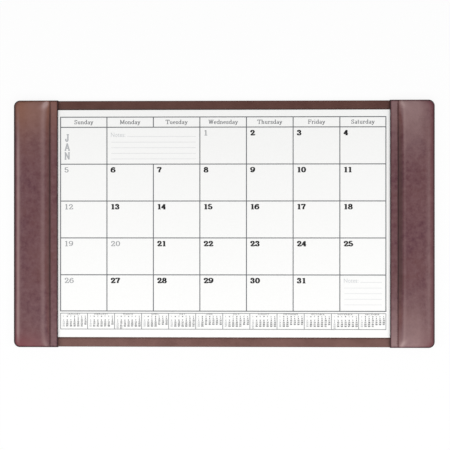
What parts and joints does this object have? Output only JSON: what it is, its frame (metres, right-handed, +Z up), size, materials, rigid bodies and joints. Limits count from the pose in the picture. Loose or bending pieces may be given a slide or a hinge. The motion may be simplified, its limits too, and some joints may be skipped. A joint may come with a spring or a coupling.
{
  "type": "desk pad calendar",
  "caption": "Large desk pad with two padded brown leather side rails that hold a stack of printed month sheets on a leather-covered, felt-backed board.",
  "frame": {"origin": "middle of the felt's underside, where the pad lies on the desk", "axes": "+X along the pad's long side, from the left rail to the right rail; +Y towards the head of the calendar sheet; +Z up from the desk"},
  "size_m": [0.864, 0.508, 0.0159],
  "materials": {
    "rail_leather": "soft sheen, fine grain",
    "cover_leather": "smooth, low sheen",
    "felt": "matt nap",
    "fibreboard": "raw",
    "greyboard": "raw",
    "wadding": "soft foam",
    "lining_leather": "smooth, matt",
    "white_paper": "uncoated, matt",
    "grey_ink": "matt print"
  },
  "bodies": {
    "root": {"felt_backing": "felt", "base_board": "fibreboard", "base_cover": "cover_leather", "calendar_backing_card": "greyboard", "calendar_sheets": "white_paper", "printed_month_grid": "grey_ink", "printed_year_strip": "grey_ink", "left_rail_leather": "rail_leather", "left_rail_padding": "wadding", "left_rail_stiffener": "greyboard", "left_rail_lining": "lining_leather", "left_rail_side_spacer": "greyboard", "left_rail_front_spacer": "greyboard", "left_rail_back_spacer": "greyboard", "right_rail_leather": "rail_leather", "right_rail_padding": "wadding", "right_rail_stiffener": "greyboard", "right_rail_lining": "lining_leather", "right_rail_side_spacer": "greyboard", "right_rail_front_spacer": "greyboard", "right_rail_back_spacer": "greyboard"}
  },
  "joints": []
}
